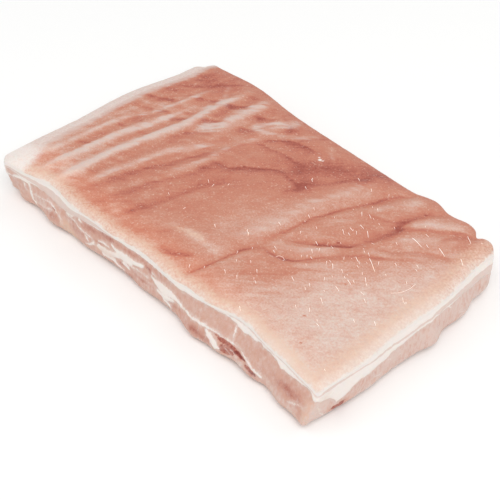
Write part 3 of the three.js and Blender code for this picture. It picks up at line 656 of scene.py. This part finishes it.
# the flesh: fat, lean and torn membrane on the cut walls, by place along the wall and depth
fleshLook = {
    "cuts": (176, 103, 18), "kept": ("fat", "band", "red", "lean", "warm", "veil", "fibrous"),
    "fibreTilt": math.radians(24),  # how far the lean's grain leans along the right wall
    # the patterns sit this much higher than listed, and the streaks are this much thinner
    "raised": 0.8, "fainter": 0.3,
    "ragged": ((5, 0.8, 40.0), (1.9, 0.45, 50.0)),  # noise on the edges of the patterns: size, amount, seed
    "meanTone": 0.32,
    # lower edge of the fat under the skin: place along, depth
    "fatEdge": {
        "front": [
            (-180, 5), (-170, 6), (-160, 7), (-150, 9), (-140, 10), (-130, 11), (-120, 12), (-108, 12.5),
            (-95, 13), (-90, 9), (-80, 8), (-65, 7.3), (-58, 6), (-48, 4), (-35, 4.4), (-20, 5.8),
            (-10, 6.2), (0, 5.4), (8, 4.6), (18, 4.6), (22, 5.8), (30, 7.2), (38, 6.8), (45, 5.4), (52, 4),
            (60, 3.2), (68, 4.4), (76, 5), (82, 7), (88, 9.3), (91, 10), (96, 8), (104, 7.4), (109, 5.2),
            (113, 6.8), (120, 5.6), (126, 7), (131, 9), (135, 8.5), (143, 8), (148, 6), (160, 5), (180, 5),
        ],
        "right": [
            (-104, 11), (-92, 12), (-86, 13), (-79, 15), (-75, 19), (-73, 22), (-68, 20.5), (-65, 19),
            (-62, 16.5), (-58, 15), (-45, 15.5), (-30, 15.5), (-26, 14.5), (-22, 13.5), (-10, 13.5),
            (-3, 12.5), (2, 11.5), (10, 11), (20, 10), (28, 10), (38, 11), (50, 11), (60, 12), (66, 14),
            (70, 15.5), (80, 15), (104, 16),
        ],
    },
    # white streaks and lumps lower down: chains of (place along, depth, half width)
    "fat": {
        "front": [
            [(-178, 12, 0.6), (-172, 13, 0.8), (-166, 10.5, 1.3), (-160, 9, 1.6), (-154, 9, 2.1),
             (-150, 10, 1.4)],
            [(-150, 10, 1.3), (-149, 14, 1.2), (-148.5, 18, 1.3), (-147.5, 23, 1.4), (-145, 26.5, 1),
             (-141, 28, 0.5)],
            [(-156, 13, 0.7), (-155, 17, 0.4)], [(-150, 7.5, 1), (-142, 8, 1), (-136, 9, 0.5)],
            [(-146, 19, 0.3), (-136, 18.5, 0.4), (-128, 16.5, 0.5), (-122, 15.5, 0.8), (-118, 16.5, 0.7),
             (-113, 19.5, 0.6), (-109, 21.5, 0.6), (-107, 26, 0.5)],
            [(-146, 26, 0.4), (-134, 24, 0.3), (-124, 21, 0.3), (-120, 19.5, 0.2)],
            [(-103, 14, 0.8), (-95, 14.5, 0.6), (-90, 15.5, 0.4), (-86, 17.5, 0.9), (-78, 18, 0.7),
             (-70, 18.5, 0.5)],
            [(-86, 10.5, 0.8), (-83, 10.5, 1.1)], [(-77, 20, 0.8), (-76, 21.5, 1.2), (-74, 23, 0.7)],
            [(-77, 27.5, 0.7), (-72, 25.5, 1), (-68, 22, 1.8)],
            [(-62, 17, 0.9), (-56, 15.5, 1.2), (-50, 16, 0.8)],
            [(-62, 22, 2.4), (-52, 22, 2.8), (-45, 20, 2.8), (-38, 17, 2.6), (-32, 17, 3.6),
             (-27, 17, 3.2)],
            [(-47, 12, 0.9), (-44, 14, 1.4), (-38, 15, 2), (-30, 14, 1.8), (-22, 15, 1.9), (-16, 14, 1.8),
             (-13, 13, 1.1)],
            [(-33, 22, 2.4), (-28, 24, 1.1)],
            [(-57, 26, 1.8), (-50, 26, 1.2), (-45, 25, 2), (-41, 28, 1.3), (-34, 29.5, 0.6)],
            [(-28, 20, 1.2), (-20, 19, 0.5), (-12, 18, 0.35), (-4, 18.5, 0.25)],
            [(-2, 12, 0.8), (2, 12.5, 0.8)],
            [
                (-2, 15, 0.8), (3, 16.5, 2), (9, 17, 4), (16, 17, 4.3), (22, 16, 2.8), (27, 17.5, 1.5),
                (33, 19, 1.5), (38, 18.8, 0.8), (44, 18.8, 0.9), (50, 18.4, 1.2), (58, 18.6, 1.3),
                (66, 18.8, 0.8), (72, 19, 0.5), (78, 19.3, 0.6), (84, 19.5, 0.7), (94, 20.5, 0.4),
                (100, 22, 0.7), (105, 22.5, 1.1), (110, 25, 1.1), (118, 27.5, 1.1),
            ],
            [(6, 22, 1), (12, 22.5, 2), (18, 22, 2.2), (24, 20, 1.5)],
            [(14, 25, 1.4), (20, 27, 1.6), (22, 28, 0.7)],
            [(62, 21, 1), (66, 23.5, 2.6), (70, 26, 3), (74, 28, 2.4), (77, 28, 0.8)],
            [(84, 8, 0.5), (84, 12, 0.8), (84.5, 18, 0.7)],
            [(148, 24, 0.4), (152, 22, 0.6), (158, 19.5, 0.5), (162, 18.5, 0.3)],
            [(80, 25, 0.2), (88, 29, 0.2)], [(84, 24.5, 0.2), (92, 27.5, 0.2)],
            [(101, 27, 0.4), (98, 30, 0.7), (95, 33, 0.7)],
        ],
        "right": [
            [(-28, 17.5, 0.4), (-24, 19, 0.5)], [(-17, 18, 0.3), (-14, 21, 0.3)],
            [(-42, 23, 0.3), (-36, 25, 0.3)], [(49, 23, 0.3), (54, 26, 0.4)],
            [(38, 11, 0.5), (40, 14, 0.4)], [(-89, 14, 0.4), (-84, 22, 0.6), (-80, 30, 0.4)],
        ],
    },
    # greyish-pink bands inside the fat
    "band": {
        "front": [
            [(56, 3.4, 0.2), (74, 3.8, 0.5), (86, 4.2, 0.6), (100, 4.2, 0.6), (130, 4, 0.6), (168, 4, 0.5)],
            [(-180, 4.5, 0.8), (-160, 5, 1.1), (-146, 6.2, 1.6), (-135, 8, 2.6), (-120, 9, 3.2),
             (-105, 9.3, 3.2), (-96, 9, 3), (-85, 6, 2.2), (-70, 4.8, 1.8), (-58, 3.8, 1.2), (-44, 3, 0.5)],
        ],
        "right": [
            [
                (-94, 4.8, 1.4), (-84, 4.2, 1.2), (-72, 4.2, 1), (-60, 4.7, 0.7), (-48, 6, 0.8),
                (-36, 7.2, 1.1), (-25, 8, 1.1), (-12, 9.3, 1.1), (0, 9.2, 1), (12, 8.5, 1), (22, 7.4, 1.4),
                (30, 7.2, 2), (40, 7.4, 2.2), (50, 8.2, 2.3), (58, 9.6, 2.5), (66, 11.5, 2.7),
                (74, 11.8, 2.9), (85, 11.5, 3.4), (104, 11.5, 4),
            ],
        ],
    },
    # dark red meat
    "red": {
        "front": [
            [(69, 20.4, 0.4), (76, 21.8, 1.8), (82, 22.5, 2.2), (90, 24.5, 2), (97, 25, 1.4),
             (101, 24.6, 0.7)],
            [(79, 27, 2.8), (84, 27.5, 2.8), (88, 27.5, 1.6)],
            [(102, 28, 1.2), (106, 27, 1.6), (110, 28.5, 1.8), (113, 29.8, 0.7)],
            [(-120, 18, 0.6), (-117, 18.5, 1)],
        ],
        "right": [
            [(-74, 26.5, 0.8), (-72, 28.5, 2.6), (-69, 28, 2.2), (-67, 26.5, 0.7)],
            [(-72, 32, 1.2), (-62, 33.5, 0.5)],
        ],
    },
    # lean that is darker (+) or paler (-): place along, depth, reach, amount
    "lean": {
        "front": [
            (-72, 11.5, 14, 3.5, 0.3), (-56, 8, 7, 3, 0.35), (-48, 7.5, 3, 4, 0.3),
            (-28, 8.5, 16, 2.5, 0.26), (2, 8.5, 14, 3, 0.2), (-8, 11.5, 4, 1.2, 0.6),
            (-4, 13.5, 3, 1.5, 0.3), (-94, 16.5, 9, 1.6, 0.3), (-88, 22, 12, 3, 0.3),
            (-62, 18.8, 4, 0.8, 0.5), (-37, 24.5, 3, 1.6, 0.5), (-14, 24, 14, 3, 0.3),
            (-30, 31, 20, 3, 0.3), (-120, 24, 10, 4, 0.28), (-108, 30, 5, 4, 0.25), (-166, 18, 8, 3, 0.12),
            (-134, 21.5, 10, 2, 0.12), (52, 26, 8, 3.5, 0.4), (28, 25, 10, 3, 0.3), (30, 31, 12, 3, 0.3),
            (63, 29, 6, 3, 0.3), (145, 17.5, 14, 3, 0.32), (128, 22, 14, 4, 0.1), (150, 12, 12, 3, 0.1),
            (106, 12, 30, 5, 0.04), (95, 24.5, 5, 1.2, 0.35), (110, 30, 3, 1.4, 0.5), (163, 22, 4, 5, 0.2),
            (-140, 12, 16, 2, 0.02), (148, 29, 14, 3, -0.1), (152, 20, 20, 8, 0.08),
        ],
        "right": [(-50, 19, 12, 3, 0.14), (-42, 20, 3, 3, 0.3), (8, 24, 3, 1.5, 0.35),
                  (36, 29.5, 6, 1.4, 0.55), (46, 31.5, 5, 1.2, 0.4), (22, 18, 6, 1.2, 0.25),
                  (52, 26, 6, 1, 0.25), (-3, 20, 4, 4, 0.2), (80, 23, 4, 3, 0.2), (-10, 27, 14, 2, 0.2),
                  (68, 20, 20, 3, 0.08)],
    },
    # warm creamy places
    "warm": {
        "front": [(-103, 26, 8, 7, 1), (-96, 31, 8, 4, 0.8), (-62, 24, 12, 4, 0.7), (-48, 22, 12, 3, 0.6),
                  (-132, 22, 10, 3, 0.5), (166, 18, 7, 14, 0.7), (30, 26, 5, 3, 0.6), (-45, 17, 20, 3, 0.4),
                  (-24, 19.5, 8, 1.2, 0.7), (12, 13.5, 8, 1.2, 0.5), (26, 21, 8, 1.5, 0.5),
                  (-28, 12.5, 4, 1.5, 0.4)],
        "right": [(-88, 21, 9, 14, 1.1)],
    },
    # a whitish film over the lean: everywhere, then places
    "veil": {
        "front": (0.3, [(-165, 18, 14, 8, 0.15), (-130, 14, 20, 3, 0.1), (-134, 21, 12, 3, 0.3),
                        (-72, 11.5, 16, 4, -0.25), (-25, 8.5, 24, 3, -0.2), (-95, 19.5, 14, 1.5, 0.2),
                        (-6, 22, 14, 1.5, 0.4), (-10, 26, 12, 1.2, 0.3), (124, 28, 14, 4, 0.4),
                        (146, 17, 15, 4, -0.2), (52, 26, 7, 4, -0.25), (88, 25, 12, 4, -0.3),
                        (94, 30, 6, 3, 0.4), (150, 27, 12, 3, 0.3), (20, 31, 12, 3, 0.2),
                        (58, 33, 8, 2, 0.3)]),
        "right": (0.72, [(-71, 29, 8, 5, -0.7), (-86, 20, 10, 12, 0.5), (-48, 21, 12, 3, -0.1),
                         (38, 30, 9, 2, -0.4), (-20, 19, 8, 3, 0.3), (16, 24, 8, 6, 0.2),
                         (54, 29, 6, 3, 0.4), (88, 28, 8, 3, 0.3)]),
    },
    "fibrous": {"front": 0.35, "right": 1.0},  # how much the lean shows its grain
    "leanTones": [(0.0, (228, 194, 180)), (0.3, (219, 173, 155)), (0.5, (211, 157, 139)),
                  (0.7, (192, 126, 109)), (0.85, (178, 96, 78)), (1.0, (138, 52, 42))],
    "filmColour": (230, 205, 195), "fatColour": (250, 240, 233), "bandColour": (233, 210, 200),
    "warmColour": (234, 196, 172),
}


def insideChains(x, y, chains):  # how deep a point lies inside the widest chain around it
    depth = np.full(x.shape, -50.0)
    for chain in chains:
        for (ax, ay, ar), (bx, by, br) in zip(chain, chain[1:]):
            length = (bx - ax) ** 2 + (by - ay) ** 2
            t = np.clip(((x - ax) * (bx - ax) + (y - ay) * (by - ay)) / length, 0, 1)
            away = np.hypot(x - ax - t * (bx - ax), y - ay - t * (by - ay))
            depth = np.maximum(depth, ar + t * (br - ar) - away)
    return depth


def wallFields(side, along, depth):  # the kept fields on one cut wall
    look = fleshLook
    ragged = [
        sum(amount * roughness(along, depth, 0 * along, size, seed + i)
            for size, amount, seed in look["ragged"])
        for i in range(2)
    ]
    along, depth = along + ragged[0], depth + look["raised"] + 0.7 * ragged[1]
    edge = np.interp(along, *zip(*look["fatEdge"][side]))
    fat = np.maximum(edge - depth, insideChains(along, depth, look["fat"][side]) - look["fainter"])
    band = insideChains(along, depth, look["band"][side])
    red = insideChains(along, depth, look["red"][side])
    tone = look["meanTone"] + patches(along, depth, look["lean"][side])
    warm = patches(along, depth, look["warm"][side])
    base, marks = look["veil"][side]
    veil = base + patches(along, depth, marks)
    return np.column_stack([fat, band, red, tone, warm, veil, 0 * tone + look["fibrous"][side]])


def fleshFields(form):
    x, y, depth = form.planX, form.planY, form.depth
    # the two hidden walls carry the two shown patterns, turned round and stretched
    walls = {
        "front": wallFields("front", x, depth), "right": wallFields("right", y, depth),
        "back": wallFields("front", 18 - 0.92 * x, depth * 1.05),
        "left": wallFields("right", 12 - 0.9 * y, depth * 1.1),
    }
    shares = {side: share ** 6 for side, share in form.sideShares(14).items()}
    total = sum(shares.values()) + 1e-6
    onWall = sum(walls[side] * (shares[side] / total)[:, None] for side in walls)
    nearest = np.minimum.reduce(list(form.edges.values()))

    def cloud(size, seed):
        return roughness(x, y, 0 * x, size, seed)

    # the underside: lean under thin fat seams, with the same fields as a wall
    under = np.column_stack([
        1.6 - 9 * abs(cloud(42, 2.0)) + 1.5 * cloud(9, 4.0) - 4 * ease(1 - nearest / 16),
        2 * cloud(20, 6.0) - 3, 5 * cloud(30, 8.0) - 4, 0.25 * cloud(24, 1.0) + 0.38,
        0.5 * np.clip(cloud(30, 7.0), 0, 1), 0.4 * cloud(26, 11.0) + 0.35, 0 * x + 0.6,
    ])
    wallShare = ease(1 - nearest / 9)[:, None]
    return onWall * wallShare + under * (1 - wallShare)


def makeFleshMaterial():
    s = Shader("flesh")
    fat, band, red, lean, warm, veil, fibrous = (s.kept(n) for n in fleshLook["kept"])
    fine = s.grain(1.5, detail=3.0, rough=0.6)
    coarse = s.grain(5, detail=3.0)
    fibres = s.grain(1.7, tilt=fleshLook["fibreTilt"], stretch=(1, 1, 6), detail=3.0) * fibrous
    cloud = s.grain(3.2, stretch=(1, 1, 1.6), detail=4.0, rough=0.65)
    tone = lean + 0.7 * fibres + 0.3 * coarse + 0.55 * fine
    redShare = (red + 1.6 * fine + 1.2 * coarse).step(-0.4, 0.7)
    tone = tone + redShare * (0.5 + 0.5 * fine)
    meat = s.ramp(tone, [(place, colour(*c)) for place, c in fleshLook["leanTones"]])
    warmShare = (warm + 0.6 * coarse).step(0.15, 0.95) * 0.8
    meat = s.mix(warmShare * (1 - redShare), meat, colour(*fleshLook["warmColour"]))
    nearFat = (fat + 3 * cloud + 1.5 * fine).step(-2.6, 0.5) * 0.6
    filmShare = (nearFat + (veil + 1.7 * cloud + 1.8 * fibres + 1.1 * fine).step(0.05, 1.1)).atMost(0.9)
    meat = s.mix(filmShare * (1 - redShare * 0.6), meat, colour(*fleshLook["filmColour"]))
    bandShare = (band + 0.7 * fine + 0.5 * coarse).step(-0.3, 0.5)
    tallow = s.mix(bandShare, colour(*fleshLook["fatColour"]), colour(*fleshLook["bandColour"]))
    tallow = s.mix(warmShare * 0.45, tallow, colour(*fleshLook["warmColour"]))
    fatShare = (fat + 1.8 * fine + 1.2 * coarse).step(-0.6, 0.5)
    both = s.mix(fatShare, meat, tallow)
    height = 0.6 * fatShare + 0.9 * fibres + 0.8 * fine + 0.6 * cloud
    return s.finish(**{
        "Base Color": both, "Roughness": 0.42 + 0.16 * fine, "Normal": s.bump(height, 0.45, 0.6),
        "Specular IOR Level": 0.4, **moist,
    })


def makeFlesh():
    look = fleshLook
    bm = bmesh.new()
    bmesh.ops.create_cube(bm, size=1)
    cutBlock(bm, look["cuts"])
    sharpen(bm, 1)
    halve(bm, [f for f in bm.faces if abs(f.normal.z) < 0.5])
    flesh = finishPiece("flesh", bm, makeFleshMaterial())
    co = coordinates(flesh.data)
    x, y = co[:, 0] * slab["length"], co[:, 1] * slab["width"]
    start = rindLook["thickness"] - rindLook["overlap"]
    form = Form(x, y, lambda height: start + (height - start) * (0.5 - co[:, 2]))
    fields = fleshFields(form)
    fat, red, warm = (fields[:, look["kept"].index(name)] for name in ("fat", "red", "warm"))
    share = form.sideShares(5)
    place = (form.x, form.y, form.z)
    ripple = 0.5 * roughness(*place, 13, 1.0) + 0.35 * roughness(*place, 3.6, 2.0)
    torn = np.clip(warm, 0, 1) * roughness(*place, 3, 6.0)
    relief = 0.35 * np.tanh(fat / 0.8) + ripple + 0.9 * torn - 0.6 * np.tanh(np.clip(red + 0.5, 0, 2)) + 0.1
    relief *= ease((form.depth - start) / 2.5)  # none where the rind begins
    outX = form.x + relief * (share["right"] - share["left"])
    outY = form.y + relief * (share["back"] - share["front"])
    placed = np.clip(np.column_stack([outX + shiftX, outY + shiftY, form.z]) * mm, low, high)
    flesh.data.vertices.foreach_set("co", placed.ravel())
    for name, values in zip(look["kept"], fields.T):
        keep(flesh.data, name, values)
    flesh.data.update()
    print("flesh made", len(flesh.data.polygons), "faces")
    return flesh


# bristles left on the skin
bristleLook = {
    "radius": 0.27, "tipShare": 0.4, "sides": 5, "joints": 4, "lean": 16, "turn": -34,
    # the bristles glow by themselves at this strength: painted light that keeps their shaded side white
    "colours": ((255, 252, 248), (250, 240, 228)), "paintedGlow": 0.35,
    # hairs lying on the skin: their radius and paths
    "lyingRadius": 0.1,
    "lying": [
        [(145.9, 25), (146.2, 20), (145.6, 15), (143.5, 10), (139.9, 5.7)],
        [(57, -27.5), (57.5, -24.8), (60.5, -23.8), (63.5, -25), (64, -27)],
        [(148.5, 8.5), (151, 6.6), (154, 5)],
    ],
    # the long ones: place, length, turn from +X in degrees
    "long": [
        (105, 21, 18, -36), (111, 61, 13, -17), (136, 95, 12, -44), (150, 70, 9, -41), (132, 67, 10, -28),
        (150, 97, 11, -45), (75, 43, 6, -20), (83, 42, 7, -40), (70, 29, 7, -38), (65, 55, 6, -45),
        (71, 57, 5, -35), (97, 15, 7, -33), (91, 9, 5, -50), (117, 4, 6, -45), (86, -4, 5, -50),
        (91, -3, 8, -43), (97, -17, 5, -50), (110, -7, 8, -28), (109, -18, 7, -27), (110, -34, 7, -38),
        (112, -47, 5, -45), (73, 2, 5, -50), (76, 11, 5, -35), (37, -32, 5, -45), (33, -43, 4, -55),
        (28, -71, 4, -45), (48, -44, 4, -40), (40, -51, 3, -35), (53, -62, 4, -40), (78, -82, 5, -35),
        (151, -23, 5, -35), (126, -54, 4, -20), (70, 67, 4, -40), (50, 5, 4, -55), (-44, -5, 4, -30),
        (-37, -5, 4, -65), (-29, 4, 4, -60), (-30, -40, 3, -80), (-53, -38, 3, -30),
    ],
    "scattered": 85,
}


class Skin:  # the height of the finished rind over a place of the form's plan
    def __init__(self, rind):
        self.tree = BVHTree.FromObject(rind, bpy.context.evaluated_depsgraph_get())

    def __call__(self, x, y):
        hit = self.tree.ray_cast(Vector(((x + shiftX) * mm, (y + shiftY) * mm, 0.2)), Vector((0, 0, -1)))
        return hit[0].z / mm if hit[0] else slab["thickness"] - 2


def growHair(bm, root, tip, length, joints):  # a thin closed cone along Z, cut across so that it can bend
    sides = bristleLook["sides"]
    made = bmesh.ops.create_cone(bm, cap_ends=True, segments=sides, radius1=root, radius2=tip, depth=length)
    edges = dict.fromkeys(e for v in made["verts"] for e in v.link_edges)
    rungs = [e for e in edges if abs(e.verts[0].co.z - e.verts[1].co.z) > length / 2]
    bmesh.ops.subdivide_edges(bm, edges=rungs, cuts=joints, use_grid_fill=True)
    hair = [v for v in bm.verts if not v.tag]
    for v in hair:
        v.tag = True
    return hair


def layHair(bm, path, skin):  # bends an even hair along a path on the skin
    radius = bristleLook["lyingRadius"]
    last = len(path) - 1
    for v in growHair(bm, radius, radius, last, last - 1):
        i = round(v.co.z + last / 2)
        x, y = path[i]
        ahead, behind = path[min(i + 1, last)], path[max(i - 1, 0)]
        along = (ahead - behind) / np.hypot(*(ahead - behind))
        side, rise = v.co.y, -v.co.x
        v.co = ((x - side * along[1] + shiftX) * mm, (y + side * along[0] + shiftY) * mm,
                (skin(x, y) + 0.6 * radius + rise) * mm)


def makeBristles(skin):
    look = bristleLook
    rng = random.Random(7)
    spots = list(look["long"])
    for _ in range(look["scattered"]):  # short ones, thickest on the right half
        atX, atY = rng.gauss(85, 38), rng.gauss(5, 48)
        spots.append((atX, atY, rng.uniform(1.5, 5), look["turn"] + rng.gauss(0, 8)))
    spots = [s for s in spots if -150 < s[0] < 160 and -86 < s[1] < 96]
    bm = bmesh.new()
    for atX, atY, length, turn in spots:
        radius = look["radius"] * (0.55 + 0.055 * min(length, 8))
        hair = growHair(bm, radius, radius * look["tipShare"], length, look["joints"])
        lean, swing = math.radians(rng.gauss(look["lean"], 6)), math.radians(turn)
        curl = rng.gauss(0, 0.06)
        for v in hair:
            t = v.co.z / length + 0.5
            away = length * t
            side = curl * length * 0.5 * t * t + v.co.x
            rise = math.sin(lean) * away * (1 - 0.45 * t) + v.co.y
            x = atX + math.cos(swing) * away * math.cos(lean) - math.sin(swing) * side
            y = atY + math.sin(swing) * away * math.cos(lean) + math.cos(swing) * side
            v.co = ((x + shiftX) * mm, (y + shiftY) * mm, min((skin(x, y) + rise) * mm, high.z))
    for path in look["lying"]:
        layHair(bm, smoothPath(path), skin)
    bmesh.ops.recalc_face_normals(bm, faces=bm.faces)
    s = Shader("bristle")
    shade = s.mix(2 * s.grain(2) + 0.5, *(colour(*c, share=1) for c in look["colours"]))
    # the emission is painted light: the hairs glow though they are no lamp
    material = s.finish(**{
        "Base Color": shade, "Roughness": 0.4 + 0.2 * s.grain(1), "Specular IOR Level": 0.4,
        "Emission Color": shade, "Emission Strength": look["paintedGlow"],
    })
    bristles = finishPiece("bristles", bm, material)
    print("bristles made", len(spots))
    return bristles


rind = makeRind()
flesh = makeFlesh()
bpy.context.view_layer.update()
bristles = makeBristles(Skin(rind))

for piece in (rind, flesh, bristles):
    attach(piece, "root")
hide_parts("pork_belly_slab")


# floor, light and camera
studio = {
    "floorSize": 6.0, "floorColour": (254, 254, 253), "worldStrength": 0.6,
    "camera": (522.2, -478.9, 626.7), "aim": (-0.54864, 0.50244, -0.66824), "lens": 86.4,
    # softboxes: place, size, power
    "lamps": [((0.9, -0.5, 1.5), 1.4, 14), ((-1.1, -0.7, 1.2), 1.4, 5), ((0.1, 1.3, 1.2), 1.4, 4)],
}


def makeStudio():
    bm = bmesh.new()
    bmesh.ops.create_grid(bm, x_segments=1, y_segments=1, size=studio["floorSize"] / 2)
    s = Shader("floor")
    paper = s.finish(**{"Base Color": colour(*studio["floorColour"], share=1), "Roughness": 0.8})
    floor = finishPiece("floor", bm, paper)
    world = bpy.data.worlds.new("studio")
    bpy.context.scene.world = world
    world.use_nodes = True
    background = world.node_tree.nodes["Background"].inputs
    background["Strength"].default_value = studio["worldStrength"]
    background["Color"].default_value = (1, 1, 1, 1)
    for i, (place, size, power) in enumerate(studio["lamps"]):
        light = bpy.data.lights.new(f"softbox{i}", "AREA")
        light.size, light.energy = size, power
        lamp = bpy.data.objects.new(f"softbox{i}", light)
        lamp.location = place
        lamp.rotation_euler = (-Vector(place)).to_track_quat("-Z", "Y").to_euler()
        bpy.context.scene.collection.objects.link(lamp)
    cameraData = bpy.data.cameras.new("camera")
    cameraData.lens, cameraData.sensor_width = studio["lens"], 36
    camera = bpy.data.objects.new("camera", cameraData)
    x, y, z = studio["camera"]
    camera.location = ((x + shiftX) * mm, (y + shiftY) * mm, z * mm)
    camera.rotation_euler = Vector(studio["aim"]).to_track_quat("-Z", "Y").to_euler()
    bpy.context.scene.collection.objects.link(camera)
    bpy.context.scene.camera = camera
    bpy.context.scene.view_settings.view_transform = "Standard"
    print("studio made")


makeStudio()
